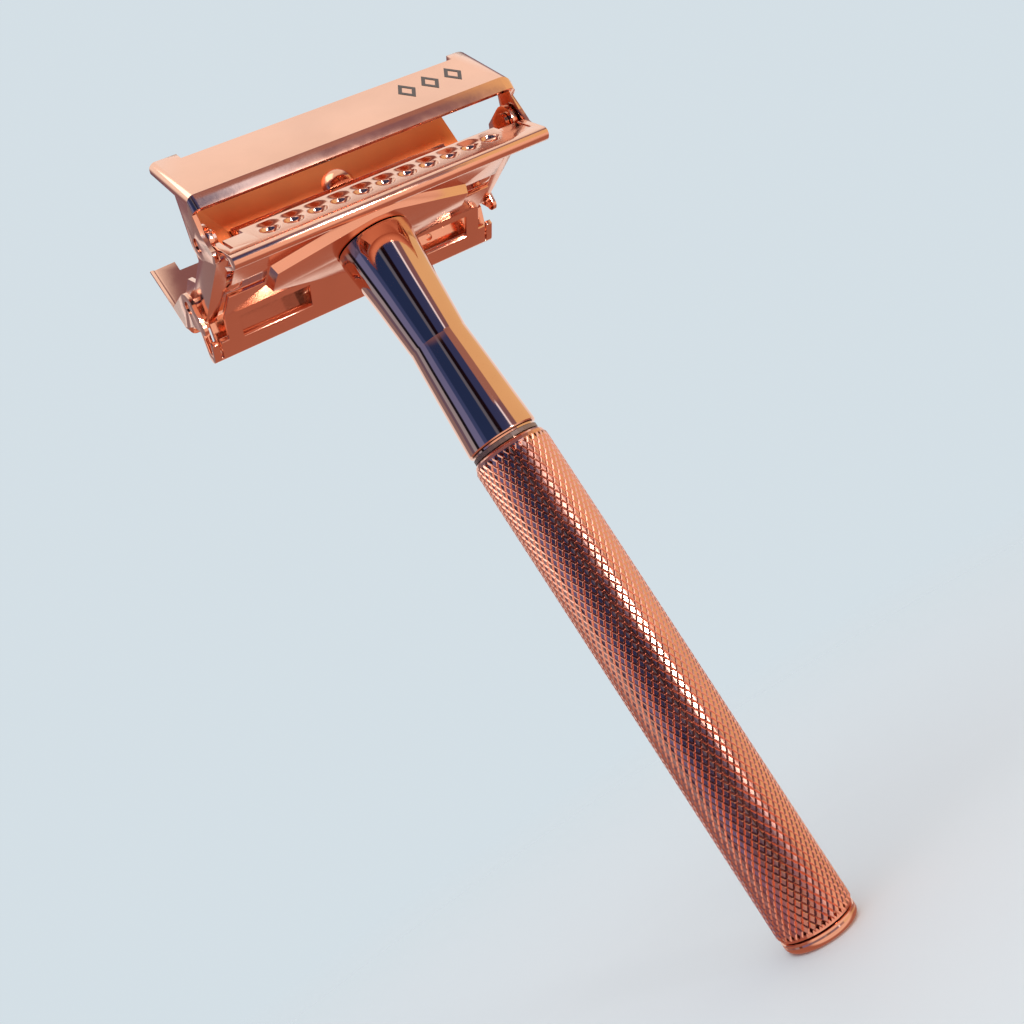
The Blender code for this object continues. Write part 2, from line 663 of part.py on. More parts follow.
def make_grip():
    """The knurled sleeve, which is the knob: a guide bore at the top, then a shoulder and a wide bore."""
    outside = [(GRIP_RADIUS - GRIP_CHAMFER, GRIP_TOP_Z), (GRIP_RADIUS, GRIP_TOP_Z - GRIP_CHAMFER),
               (GRIP_RADIUS, GRIP_LOW_Z)]
    inside = [(GRIP_BORE, GRIP_LOW_Z), (GRIP_BORE, GRIP_SHOULDER_Z), (GRIP_GUIDE_RADIUS, GRIP_SHOULDER_Z),
              (GRIP_GUIDE_RADIUS, GRIP_TOP_Z)]
    return turned("grip_sleeve", outside + inside, ROSE_KNURLED)


def make_nut():
    low = NUT_TOP_Z - NUT_LENGTH
    outer = GRIP_BORE - GAP
    inner = SPINDLE_RADIUS + GAP
    profile = [(outer - 0.3, NUT_TOP_Z), (outer, NUT_TOP_Z - 0.3), (outer, low + 0.3), (outer - 0.3, low),
               (inner, low), (inner, NUT_TOP_Z)]
    return turned("drive_nut", profile, BRASS_PLAIN)


def make_end_cap():
    flange = GRIP_LOW_Z - GAP
    plug = GRIP_BORE - GAP
    tip = [(0.0, CAP_PLUG_Z), (plug - 0.4, CAP_PLUG_Z), (plug, CAP_PLUG_Z - 0.4), (plug, flange)]
    profile = tip + [(CAP_EDGE[0][0], flange)] + CAP_EDGE + [(0.0, -LIP_Z)]
    return turned("end_cap", profile, ROSE_POLISHED, closed=False)


clear_scene()
RAZOR = collection("safety_razor")
CUTTERS = collection("cutters")
ROSE_SATIN = material("rose_gold_satin", ROSE_GOLD, 0.28, 1.0)
ROSE_POLISHED = material("rose_gold_polished", ROSE_GOLD, 0.06, 1.0)
ROSE_KNURLED = material("rose_gold_knurled", ROSE_GOLD, 0.22, 1.0)
BRASS_PLAIN = material("brass_plain", BRASS, 0.35, 1.0)
STEEL_PLAIN = material("steel_plain", STEEL, 0.30, 1.0)
NYLON_PLAIN = material("nylon_plain", NYLON, 0.50, 0.0)

make_guard()
make_neck()
make_bush()
make_thrust_washer()
make_wave_washer()
make_retaining_ring()
make_grip()
make_nut()
make_end_cap()
make_spindle()
make_spine()
make_bridge()
for end_name, end_sign in (("left", -1), ("right", 1)):
    make_bracket(f"end_bracket_{end_name}", end_sign)
    make_rivet(f"bracket_rivet_{end_name}", end_sign * RIVET_X)
    for side_name, side_sign in (("front", -1), ("rear", 1)):
        make_pin(f"pivot_pin_{side_name}_{end_name}", end_sign, side_sign)
make_door("door_front", -1, FRONT_OPEN_DEG)
make_door("door_rear", 1, REAR_OPEN_DEG)
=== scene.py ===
"""Looks of the twist-to-open safety razor: finished sheet metal, a mirror-polished neck and a cut knurl.

Everything is in metres in the part's frame: +Z up the handle, X along the head, -Y to the front door.
Sizes named here are in millimetres unless they say metres, and heights are given from the guard's lip.
"""

import math

import bmesh
import bpy
from mathutils import Matrix, Vector


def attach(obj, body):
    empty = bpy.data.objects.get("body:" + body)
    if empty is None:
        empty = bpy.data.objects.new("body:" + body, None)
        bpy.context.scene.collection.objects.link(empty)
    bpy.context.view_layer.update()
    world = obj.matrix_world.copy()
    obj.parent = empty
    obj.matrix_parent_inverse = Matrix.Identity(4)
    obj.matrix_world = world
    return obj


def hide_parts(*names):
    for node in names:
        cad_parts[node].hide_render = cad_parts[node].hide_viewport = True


MM = 0.001
LIP_Z = 96.0  # the guard's lip above the floor

# The view: from the front left, low beside the handle, with the razor leaning across the frame.
CAMERA_POSITION = (-64.48, -127.11, 45.2)
CAMERA_RIGHT = (0.7822, -0.3094, -0.5407)
CAMERA_UP = (0.4544, -0.3105, 0.8350)
CAMERA_LENS = 42.24
CAMERA_SENSOR = 36.0

# Handle.
GRIP_TOP_Z = -29.4
GRIP_LOW_Z = -94.4
GRIP_RADIUS = 4.95
GRIP_BORE = 4.15
GRIP_GUIDE_RADIUS = 3.75
GRIP_SHOULDER_Z = -34.8
KNURL_AROUND = 36  # diamonds round the sleeve
KNURL_PITCH = 1.42  # height of one diamond
KNURL_DEPTH = 0.16
KNURL_CREST = 0.6  # width of a diamond's flat crest, as a share of the diamond
KNURL_TOP_Z = -30.0
KNURL_LOW_Z = -94.1
NECK_TOP_Z = 1.0
SPIGOT_RADIUS = 3.6
SPIGOT_LOW_Z = -38.0
RING_GROOVE_RADIUS = 3.2
RING_GROOVE_Z = (-36.3, -37.2)
GUIDE_RADIUS = 2.1  # the neck's bore
BUSH_RADIUS = 2.7  # its wider top, for the bush
BUSH_LOW_Z = -1.4
PLUG_RADIUS = 4.05  # the end cap's plug, inside the sleeve
PLUG_TOP_Z = -88.0
PLUG_CHAMFER = 0.4

# Scalloped strips, placed by (outwards from the middle plane, up) at the lip and at the ridge.
STRIP_LIP = (12.4, 0.86)
STRIP_RIDGE = (9.05, 4.7)
STRIP_RUN = STRIP_RIDGE[0] - STRIP_LIP[0]
STRIP_RISE = STRIP_RIDGE[1] - STRIP_LIP[1]
STRIP_SLOPE = math.hypot(STRIP_RUN, STRIP_RISE)
STRIP_HALF_LENGTH = 17.2
STRIP_FOOT = 0.5  # from the slope's lower edge to the worked band
STRIP_TOP = 4.62  # and to the band's upper edge
STRIP_DEPTH = 0.75  # of the trough in the guard plate, and the sheet's thickness in it
STRIP_SHEET = 0.68
STRIP_STEP = 0.09
STRIP_MARGIN = 0.03  # the sheet reaches this far past the trough's sides
STRIP_LIFT = 0.004  # and stands this far out of the slope
STRIP_EDGE = 0.15  # the pressing starts over this width inside the band
BRIM_SLACK = 0.02
SCALLOP_PITCH = 3.05
SCALLOP_COUNT = 11
CUP_UP = 2.45
CUP_HALF = (1.18, 1.15)  # along the strip and up its slope
CUP_DEPTH = 0.6
HOLLOW_UP = 3.4  # a wide shallow hollow above each cup, up to the ridge
HOLLOW_SHIFT = 0.35
HOLLOW_HALF = (1.75, 1.5)
HOLLOW_DEPTH = 0.3
HOLLOW_PAST = 0.1  # a hollow's middle lies at most this far past the last cup's

# Carriage and doors.
STUD_RADIUS = 2.17
STUD_Z = 9.35
STUD_FOOT_DEG = -12.0
FRONT_OPEN_DEG = 44.0
REAR_OPEN_DEG = 78.0
PIVOT_Y = 7.4
PIVOT_Z = 5.58
DOOR_END_X = 22.15
DOOR_SHEET = 0.7
LEG_SHEET = 0.5
DOOR_OUTLINE = [(-7.2, 8.0), (1.3, 5.722), (2.393, 4.42)]  # outwards and up from the pivot, door shut
DOOR_MEETING = 0.1  # a shut door's middle edge stays this far from the middle plane
END_ROUND = {-1: 0.9, 1: 2.0}  # radius of the fold at the left and the right end
END_LIP = 0.25  # the roof's inner corner over a leg drops to this far below the fold
END_STEPS = 8
OUTER_FACE_SLACK = 0.08  # a corner this close to a face of the door counts as on it
INNER_FACE_SLACK = 0.2
ORNAMENT_X = 13.0
ORNAMENT_PITCH = 3.4
ORNAMENT_DOWN = 4.4
ORNAMENT_HALF = (1.25, 1.9)
ORNAMENT_INSIDE = 0.55  # the opening of a lozenge, as a share of its outline
ORNAMENT_PROUD = 0.03
ORNAMENT_SUNK = 0.05

# Widths of the rounded edges on the sheet metal.
GUARD_EDGE = 0.14
DOOR_EDGE = 0.15
BRIDGE_EDGE = 0.12
BRACKET_EDGE = 0.1
BEVEL_STEPS = 3
BEVEL_ANGLE = math.radians(28.0)  # edges sharper than this are rounded
SHARP_DEG = 35.0
FLAT_ANGLE = math.radians(0.6)  # faces closer than this to one plane are joined
NODE_WELD = 2e-6  # metres, as is the next
MESH_WELD = 1e-7

TURN_STEPS = 128
STUD_STEPS = 96

# The light tent that shiny metal mirrors. Each card starts at a bearing in degrees from +X towards +Y.
CARDS = [
    (20.0, (0.95, 0.90, 0.88)),
    (104.0, (0.30, 0.26, 0.30)),
    (128.0, (0.16, 0.15, 0.26)),
    (142.0, (0.36, 0.46, 0.62)),
    (157.0, (0.01, 0.01, 0.02)),
    (168.0, (0.17, 0.25, 0.60)),
    (190.0, (0.05, 0.10, 0.32)),
    (202.0, (0.02, 0.05, 0.18)),
    (238.0, (0.14, 0.20, 0.32)),
    (246.0, (0.01, 0.005, 0.01)),
    (258.0, (0.04, 0.07, 0.24)),
    (286.0, (1.2, 1.5, 1.9)),
    (290.5, (0.24, 0.16, 0.22)),
    (307.0, (0.90, 0.72, 0.40)),
]
CARD_BLEND = 0.003
# Bands above and below the cards, each with the span of heights over which it fades in.
BROWN_BAND = (0.40, 0.24, 0.22, 1.0)  # over the front cards, for the doors' folded edges
BROWN_BEARINGS = (282.0, 307.0)
BROWN_BLEND = 0.004
BROWN_RISE = (0.25, 0.28)
DARK_BAND = (0.26, 0.17, 0.21, 1.0)  # all round, between the cards and the bright top
DARK_RISE = (0.41, 0.44)
TENT_TOP = (1.06, 1.12, 1.12, 1.0)
TOP_RISE = (0.56, 0.72)
BELOW_BACK = (0.44, 0.19, 0.14, 1.0)
BELOW_FRONT = (1.0, 0.72, 0.60, 1.0)
BELOW_FALL = (0.25, 0.31)
BELOW_TURN = (0.1, 0.4)  # the span of leaning to -Y over which the front's colour takes over
SURROUND = (0.66, 0.74, 0.79, 1.0)

FLOOR_RADIUS = 0.9  # metres, as are the next three
FLOOR_FADE = (0.05, 0.26)
KEY_PLACE = (0.14, -0.43, 0.02)
TOP_PLACE = (-0.2, -0.15, 0.6)
FLOOR_STEPS = 64
KEY_COLOUR = (1.0, 0.97, 0.93)

ROSE_GOLD = (0.88, 0.48, 0.34)
# The knurl's rose gold is a darker, redder copy of the plating: painted shade for the knurled sleeve.
ROSE_KNURL_PAINTED_SHADE = (0.84, 0.39, 0.28)
ROSE_POLISHED = (0.82, 0.47, 0.34)
# The stud's rose gold is a darker, redder copy: a painted glow for the orange light between the open
# doors.
ROSE_STUD_PAINTED_GLOW = (0.80, 0.36, 0.22)
# The spine's deep orange is a painted glow: it stands for light passed between the plates, not for the
# plating's own colour.
ROSE_SPINE_PAINTED_GLOW = (0.86, 0.24, 0.08)
# Lighter colour for pointy edges and crests: a painted highlight that also stands for rubbed wear.
WORN_AND_GLINT = (0.97, 0.72, 0.60, 1.0)
STEEL = (0.62, 0.62, 0.64)
BRASS = (0.80, 0.62, 0.30)
ENAMEL = (0.055, 0.03, 0.02)
# The washer is made dark so that it also paints the shade of the groove between the neck and the grip.
NYLON_AND_GROOVE_SHADE = (0.16, 0.09, 0.07)


# ---------------------------------------------------------------- nodes and materials


class Nodes:
    """A short way to add and link shader nodes."""

    def __init__(self, tree):
        self.tree = tree

    def add(self, kind, **values):
        node = self.tree.nodes.new(kind)
        for name, value in values.items():
            setattr(node, name, value)
        return node

    def link(self, source, target):
        self.tree.links.new(source, target)

    def texture(self, kind, vector, scale, **values):
        node = self.add(kind, **values)
        node.inputs["Scale"].default_value = scale
        self.link(vector, node.inputs["Vector"])
        return node

    def ramp(self, source, stops):
        node = self.add("ShaderNodeValToRGB")
        while len(node.color_ramp.elements) < len(stops):
            node.color_ramp.elements.new(0.5)
        for element, (position, colour) in zip(node.color_ramp.elements, stops):
            element.position = position
            element.color = (*colour, 1.0)
        self.link(source, node.inputs["Fac"])
        return node.outputs["Color"]

    def rise(self, source, start, end, low=0.0, high=1.0):
        return self.ramp(source, [(start, grey(low)), (end, grey(high))])

    def mixed(self, share, a, b):
        node = self.add("ShaderNodeMix", data_type="RGBA")
        for name, value in (("Factor", share), ("A", a), ("B", b)):
            if isinstance(value, tuple):
                node.inputs[name].default_value = value
            else:
                self.link(value, node.inputs[name])
        return node.outputs["Result"]

    def math(self, operation, a, b):
        node = self.add("ShaderNodeMath", operation=operation)
        for socket, value in zip(node.inputs, (a, b)):
            if isinstance(value, (int, float)):
                socket.default_value = value
            else:
                self.link(value, socket)
        return node.outputs[0]

    def bump(self, height, strength, distance, shader):
        node = self.add("ShaderNodeBump")
        node.inputs["Strength"].default_value = strength
        node.inputs["Distance"].default_value = distance
        self.link(height, node.inputs["Height"])
        self.link(node.outputs["Normal"], shader.inputs["Normal"])


def grey(value):
    return (value, value, value)


def new_material(name):
    """A new material, its nodes, its shader and the object's own coordinates."""
    made = bpy.data.materials.new(name)
    made.use_nodes = True
    nodes = Nodes(made.node_tree)
    place = nodes.add("ShaderNodeTexCoord").outputs["Object"]
    return made, nodes, made.node_tree.nodes["Principled BSDF"], place


def metal(name, tone, roughness, smear=0.0, grain=0.0, wear_and_glint=0.0):
    """Plated metal: a tone that varies a little, smears in the roughness, a fine grain, and lighter pointy
    edges, a painted highlight that also stands for rubbed wear.
    """
    made, nodes, shader, place = new_material(name)
    shader.inputs["Metallic"].default_value = 1.0
    cloud = nodes.texture("ShaderNodeTexNoise", place, 120.0)
    cloud.inputs["Detail"].default_value = 3.0
    darker = tuple(c * 0.93 for c in tone)
    tinted = nodes.ramp(cloud.outputs["Fac"], [(0.35, darker), (0.65, tone)])
    # Pointy edges and crests turn lighter: a painted highlight, partly rubbed wear.
    if wear_and_glint:
        edge = nodes.add("ShaderNodeNewGeometry").outputs["Pointiness"]
        tinted = nodes.mixed(nodes.rise(edge, 0.52, 0.60, high=wear_and_glint), tinted, WORN_AND_GLINT)
    nodes.link(tinted, shader.inputs["Base Color"])
    smudge = nodes.texture("ShaderNodeTexNoise", place, 320.0)
    smudge.inputs["Detail"].default_value = 5.0
    rough = nodes.rise(smudge.outputs["Fac"], 0.4, 0.7, roughness, roughness + smear)
    nodes.link(rough, shader.inputs["Roughness"])
    if grain:
        fine = nodes.texture("ShaderNodeTexNoise", place, 1500.0)
        fine.inputs["Detail"].default_value = 2.0
        nodes.bump(fine.outputs["Fac"], grain, 0.02 * MM, shader)
    return made


def turned_steel():
    """Plain steel with fine turning rings along Z."""
    made = metal("turned_steel", STEEL, 0.24, smear=0.08)
    nodes = Nodes(made.node_tree)
    place = nodes.add("ShaderNodeTexCoord").outputs["Object"]
    rings = nodes.texture("ShaderNodeTexWave", place, 2500.0, bands_direction="Z")
    nodes.bump(rings.outputs["Fac"], 0.2, 0.01 * MM, made.node_tree.nodes["Principled BSDF"])
    return made


def plastic(name, tone, roughness):
    made, nodes, shader, place = new_material(name)
    shader.inputs["Roughness"].default_value = roughness
    cloud = nodes.texture("ShaderNodeTexNoise", place, 600.0)
    darker = tuple(c * 0.9 for c in tone)
    nodes.link(nodes.ramp(cloud.outputs["Fac"], [(0.3, darker), (0.7, tone)]), shader.inputs["Base Color"])
    return made


# ---------------------------------------------------------------- meshes


def placed(name, data):
    """A new object in the scene."""
    obj = bpy.data.objects.new(name, data)
    bpy.context.scene.collection.objects.link(obj)
    return obj


def new_piece(name, mesh, body, finish, replaced=()):
    """Adds a mesh as a piece that rides on a body and may stand for CAD nodes."""
    obj = placed(name, mesh)
    mesh.materials.clear()
    mesh.materials.append(finish)
    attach(obj, body)
    if replaced:
        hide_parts(*replaced)


def mesh_from(name, vertices, faces):
    mesh = bpy.data.meshes.new(name)
    mesh.from_pydata([tuple(v) for v in vertices], [], faces)
    mesh.validate()
    return mesh


def faced_out(mesh, weld=0.0):
    """Turns a mesh's faces outwards. Points closer together than the weld are joined first."""
    work = bmesh.new()
    work.from_mesh(mesh)
    if weld:
        bmesh.ops.remove_doubles(work, verts=work.verts, dist=weld)
    bmesh.ops.recalc_face_normals(work, faces=work.faces)
    work.to_mesh(mesh)
    work.free()
    return mesh


def smooth_closed(mesh, sharp_deg):
    """Welds a mesh, turns its faces out, and shades it smooth with its sharp edges marked."""
    faced_out(mesh, MESH_WELD)
    mesh.shade_smooth()
    mesh.set_sharp_from_angle(angle=math.radians(sharp_deg))
    return mesh


def arc(centre, radius, start_deg, end_deg, steps):
    angles = [math.radians(start_deg + (end_deg - start_deg) * i / steps) for i in range(steps + 1)]
    return [(centre[0] + radius * math.cos(a), centre[1] + radius * math.sin(a)) for a in angles]


def turned_point(radius, angle, z):
    """A point at a radius and an angle about the handle's axis, z above the lip."""
    return (radius * math.cos(angle) * MM, radius * math.sin(angle) * MM, (z + LIP_Z) * MM)


def turned_mesh(name, profile, sharp_deg, steps=TURN_STEPS, closed=True):
    """A profile of (radius, height) turned about Z: a closed loop, or one whose ends lie on the axis."""
    vertices = []
    rows = []
    for radius, z in profile:
        first = len(vertices)
        if radius < 1e-6:
            vertices.append((0.0, 0.0, (z + LIP_Z) * MM))
            rows.append([first] * steps)
            continue
        vertices += [turned_point(radius, 2 * math.pi * i / steps, z) for i in range(steps)]
        rows.append(list(range(first, first + steps)))
    faces = []
    for upper, lower in zip(rows, rows[1:] + rows[:1] if closed else rows[1:]):
        for i in range(steps):
            j = (i + 1) % steps
            corners = []
            for corner in (upper[i], upper[j], lower[j], lower[i]):
                if corner not in corners:
                    corners.append(corner)
            if len(corners) > 2:
                faces.append(corners)
    return smooth_closed(mesh_from(name, vertices, faces), sharp_deg)


def applied(obj):
    """An object's mesh with its modifiers applied. The object is removed."""
    bpy.context.view_layer.update()
    made = bpy.data.meshes.new_from_object(obj.evaluated_get(bpy.context.evaluated_depsgraph_get()))
    made.name = obj.name
    bpy.data.objects.remove(obj, do_unlink=True)
    return made


def without(mesh, cutters):
    """A mesh with each cutter's mesh cut out of it."""
    body = placed(mesh.name, mesh)
    tools = []
    for cutter in cutters:
        tool = placed(cutter.name, cutter)
        tools.append(tool)
        cut = body.modifiers.new("cut", "BOOLEAN")
        cut.object = tool
        cut.solver = "EXACT"
    made = applied(body)
    for tool in tools:
        bpy.data.objects.remove(tool, do_unlink=True)
    return made


def welded(mesh):
    """A mesh opened for work, with the corners that its triangles share joined."""
    work = bmesh.new()
    work.from_mesh(mesh)
    bmesh.ops.remove_doubles(work, verts=work.verts, dist=NODE_WELD)
    return work


def finished_copy(node, width, cutters=(), shape=None, skip=None):
    """The CAD node's own shape, its faces joined and flattened and its edges rounded.

    Cutters are cut out first, a shape may bend the result, and skip says where an edge stays sharp.
    """
    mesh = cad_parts[node].data.copy()
    mesh.name = f"{node}_finished"
    work = welded(mesh)
    if cutters:
        work.to_mesh(mesh)
        work.free()
        mesh = without(mesh, cutters)
        work = welded(mesh)
    bmesh.ops.dissolve_limit(work, angle_limit=FLAT_ANGLE, verts=work.verts, edges=work.edges)
    bmesh.ops.recalc_face_normals(work, faces=work.faces)
    if shape:
        shape(work)
    weight = work.edges.layers.float.new("bevel_weight_edge")
    for edge in work.edges:
        middle = (edge.verts[0].co + edge.verts[1].co) / 2
        if edge.is_manifold and edge.calc_face_angle() > BEVEL_ANGLE and not (skip and skip(middle)):
            edge[weight] = 1.0
    work.to_mesh(mesh)
    work.free()
    holder = placed(f"{node}_bevelled", mesh)
    bevel = holder.modifiers.new("edges", "BEVEL")
    bevel.width = width * MM
    bevel.segments = BEVEL_STEPS
    bevel.limit_method = "WEIGHT"
    bevel.use_clamp_overlap = True
    bevel.miter_outer = "MITER_ARC"
    made = applied(holder)
    work = bmesh.new()
    work.from_mesh(made)
    bmesh.ops.triangulate(work, faces=[face for face in work.faces if len(face.verts) > 4])
    work.to_mesh(made)
    work.free()
    made.shade_smooth()
    made.set_sharp_from_angle(angle=math.radians(SHARP_DEG))
    return made


# ---------------------------------------------------------------- handle


def knurl_mesh():
    """The grip sleeve's outside: diamonds between two sets of helical grooves, and its two end rings.

    Diamond centres lie on a staggered lattice. Each has four valley corners and a small flat crest.
    """
    half_angle = math.pi / KNURL_AROUND
    rows = int((KNURL_TOP_Z - KNURL_LOW_Z) / (KNURL_PITCH / 2))
    step = (KNURL_TOP_Z - KNURL_LOW_Z) / rows
    vertices = []
    faces = []
    lattice = {}

    def point(radius, along, z):
        vertices.append(turned_point(radius, along * half_angle, z))
        return len(vertices) - 1

    def corner(i, row):
        key = (i % (2 * KNURL_AROUND), row)
        if key not in lattice:
            lattice[key] = point(GRIP_RADIUS - KNURL_DEPTH, key[0], KNURL_TOP_Z - row * step)
        return lattice[key]

    for row in range(1, rows):
        middle = KNURL_TOP_Z - row * step
        for k in range(KNURL_AROUND):
            i = 2 * k + row % 2
            outer = [corner(i, row - 1), corner(i + 1, row), corner(i, row + 1), corner(i - 1, row)]
            inner = [
                point(GRIP_RADIUS, i, middle + step * KNURL_CREST),
                point(GRIP_RADIUS, i + KNURL_CREST, middle),
                point(GRIP_RADIUS, i, middle - step * KNURL_CREST),
                point(GRIP_RADIUS, i - KNURL_CREST, middle),
            ]
            faces.append(inner)
            for a in range(4):
                b = (a + 1) % 4
                faces.append([outer[a], outer[b], inner[b], inner[a]])
    for row, inward in ((0, 1), (rows, rows - 1)):
        for k in range(KNURL_AROUND):
            i = 2 * k + row % 2
            faces.append([corner(i, row), corner(i + 1, inward), corner(i + 2, row)])
    top_ring = [corner(2 * k, 0) for k in range(KNURL_AROUND)]
    low_ring = [corner(2 * k + rows % 2, rows) for k in range(KNURL_AROUND)]
    return vertices, faces, top_ring, low_ring


def ring_at(vertices, ring, radius, z):
    """A new ring of points at the same angles as an old one's."""
    fresh = []
    for index in ring:
        x, y, _ = vertices[index]
        vertices.append(turned_point(radius, math.atan2(y, x), z))
        fresh.append(len(vertices) - 1)
    return fresh


def ring_between(faces, upper, lower):
    count = len(upper)
    for i in range(count):
        j = (i + 1) % count
        faces.append([upper[i], upper[j], lower[j], lower[i]])


def make_grip(finish):
    """The sleeve: knurled outside, chamfered ends and the stepped bore."""
    vertices, faces, top_ring, low_ring = knurl_mesh()
    top_end = [(4.72, GRIP_TOP_Z - 0.25), (4.5, GRIP_TOP_Z), (GRIP_GUIDE_RADIUS, GRIP_TOP_Z)]
    low_end = [(GRIP_RADIUS - 0.22, GRIP_LOW_Z + 0.06), (4.6, GRIP_LOW_Z), (GRIP_BORE, GRIP_LOW_Z)]
    ends = []
    for ring, profile in ((top_ring, top_end), (low_ring, low_end)):
        last = ring
        for radius, z in profile:
            fresh = ring_at(vertices, ring, radius, z)
            ring_between(faces, last, fresh)
            last = fresh
        ends.append(last)
    upper = ring_at(vertices, ends[0], GRIP_GUIDE_RADIUS, GRIP_SHOULDER_Z)
    lower = ring_at(vertices, ends[0], GRIP_BORE, GRIP_SHOULDER_Z)
    ring_between(faces, ends[0], upper)
    ring_between(faces, upper, lower)
    ring_between(faces, lower, ends[1])
    mesh = faced_out(mesh_from("grip_knurl", vertices, faces))
    new_piece("grip_knurl", mesh, "grip", finish, ("grip_sleeve",))


def make_neck(finish):
    """The turned neck with its flare into the boss, the waist, the cone and the groove above the grip."""
    flare = [
        (4.86, NECK_TOP_Z), (4.96, 0.9), (4.94, 0.5), (4.9, -0.3), (4.78, -1.5), (4.62, -3.2),
        (4.45, -5.0), (4.28, -7.0), (4.14, -9.2), (3.98, -11.6), (3.83, -13.75),
    ]
    cone = [(3.82, -13.9), (3.84, -14.05), (4.02, -17.0), (4.22, -20.5), (4.42, -24.3), (4.62, -28.0)]
    shoulder = [(4.6, -28.15), (4.5, -28.3), (4.2, -28.4), (4.15, -28.6), (SPIGOT_RADIUS, -28.6)]
    groove_top, groove_low = RING_GROOVE_Z
    spigot = [
        (SPIGOT_RADIUS, groove_top), (RING_GROOVE_RADIUS, groove_top),
        (RING_GROOVE_RADIUS, groove_low), (SPIGOT_RADIUS, groove_low), (SPIGOT_RADIUS, SPIGOT_LOW_Z),
    ]
    bore = [
        (GUIDE_RADIUS, SPIGOT_LOW_Z), (GUIDE_RADIUS, BUSH_LOW_Z),
        (BUSH_RADIUS, BUSH_LOW_Z), (BUSH_RADIUS, NECK_TOP_Z),
    ]
    mesh = turned_mesh("neck_polished", flare + cone + shoulder + spigot + bore, 24)
    new_piece("neck_polished", mesh, "frame", finish, ("neck",))


def make_end_cap(finish):
    """The end cap: a plug in the sleeve under a shallow rounded disc."""
    plug = [
        (0.0, PLUG_TOP_Z), (PLUG_RADIUS - PLUG_CHAMFER, PLUG_TOP_Z),
        (PLUG_RADIUS, PLUG_TOP_Z - PLUG_CHAMFER), (PLUG_RADIUS, -94.5),
    ]
    disc = [(4.6, -94.5), (4.8, -94.62)] + arc((3.95, -95.1), 0.85, 12.0, -78.0, 8)
    under = [(3.4, -LIP_Z), (0.0, -LIP_Z)]
    mesh = turned_mesh("end_cap_turned", plug + disc + under, 40, closed=False)
    new_piece("end_cap_turned", mesh, "grip", finish, ("end_cap",))


# ---------------------------------------------------------------- head


def strip_place(side, x, up, out):
    """A point on one strip: x along it, up its slope from the lower edge, and out from its face."""
    y = STRIP_LIP[0] + up * STRIP_RUN / STRIP_SLOPE + out * STRIP_RISE / STRIP_SLOPE
    z = STRIP_LIP[1] + up * STRIP_RISE / STRIP_SLOPE - out * STRIP_RUN / STRIP_SLOPE
    return (x * MM, side * y * MM, (z + LIP_Z) * MM)


def in_trough(point):
    """Whether a point lies in a strip's trough or on its brim."""
    across = abs(point.y) / MM - STRIP_LIP[0]
    above = point.z / MM - LIP_Z - STRIP_LIP[1]
    up = (across * STRIP_RUN + above * STRIP_RISE) / STRIP_SLOPE
    out = (across * STRIP_RISE - above * STRIP_RUN) / STRIP_SLOPE
    return (
        abs(point.x) / MM < STRIP_HALF_LENGTH + BRIM_SLACK
        and STRIP_FOOT - BRIM_SLACK < up < STRIP_TOP + BRIM_SLACK
        and -STRIP_DEPTH - BRIM_SLACK < out < BRIM_SLACK
    )


def smooth(value):
    value = min(1.0, max(0.0, value))
    return value * value * (3.0 - 2.0 * value)


def strip_height(x, up):
    """How far a strip's face stands out: round cups, each with a wide hollow above it."""
    reach = SCALLOP_COUNT * SCALLOP_PITCH / 2
    if abs(x) > reach:
        return 0.0
    phase = (x + SCALLOP_PITCH / 2 * (SCALLOP_COUNT % 2 - 1)) / SCALLOP_PITCH
    along = (phase - round(phase)) * SCALLOP_PITCH
    height = 0.0
    for shift in (-SCALLOP_PITCH, 0.0, SCALLOP_PITCH):
        place = along - HOLLOW_SHIFT + shift
        wide = math.hypot(place / HOLLOW_HALF[0], (up - HOLLOW_UP) / HOLLOW_HALF[1])
        if abs(x - place) < reach - SCALLOP_PITCH / 2 + HOLLOW_PAST:
            height = min(height, -HOLLOW_DEPTH * smooth(1.0 - wide))
    cup = math.hypot(along / CUP_HALF[0], (up - CUP_UP) / CUP_HALF[1])
    if cup < 1.0:
        height -= CUP_DEPTH * math.sqrt(1.0 - cup ** 3)
    edge = min(up - STRIP_FOOT, STRIP_TOP - up)
    return height * smooth(edge / STRIP_EDGE)


def make_strip(name, side, finish):
    """The worked part of one strip, a pressed sheet set in an opening of its own outline."""
    columns = int(2 * STRIP_HALF_LENGTH / STRIP_STEP)
    rows = int((STRIP_TOP - STRIP_FOOT) / STRIP_STEP)
    vertices = []
    faces = []
    width = columns + 1
    for under in (False, True):
        for r in range(rows + 1):
            up = STRIP_FOOT - STRIP_MARGIN + (STRIP_TOP - STRIP_FOOT + 2 * STRIP_MARGIN) * r / rows
            for c in range(width):
                x = (2 * c / columns - 1) * (STRIP_HALF_LENGTH + STRIP_MARGIN)
                out = -STRIP_SHEET if under else STRIP_LIFT + strip_height(x, up)
                vertices.append(strip_place(side, x, up, out))
    lower = (rows + 1) * width
    for r in range(rows):
        for c in range(columns):
            a = r * width + c
            faces.append([a, a + 1, a + 1 + width, a + width])
            faces.append([lower + a, lower + a + width, lower + a + 1 + width, lower + a + 1])
    rim = list(range(width))
    rim += [r * width + columns for r in range(1, rows + 1)]
    rim += [rows * width + c for c in range(columns - 1, -1, -1)]
    rim += [r * width for r in range(rows - 1, 0, -1)]
    for a, b in zip(rim, rim[1:] + rim[:1]):
        faces.append([a, b, lower + b, lower + a])
    mesh = smooth_closed(mesh_from(name, vertices, faces), 55)
    new_piece(name, mesh, "frame", finish)


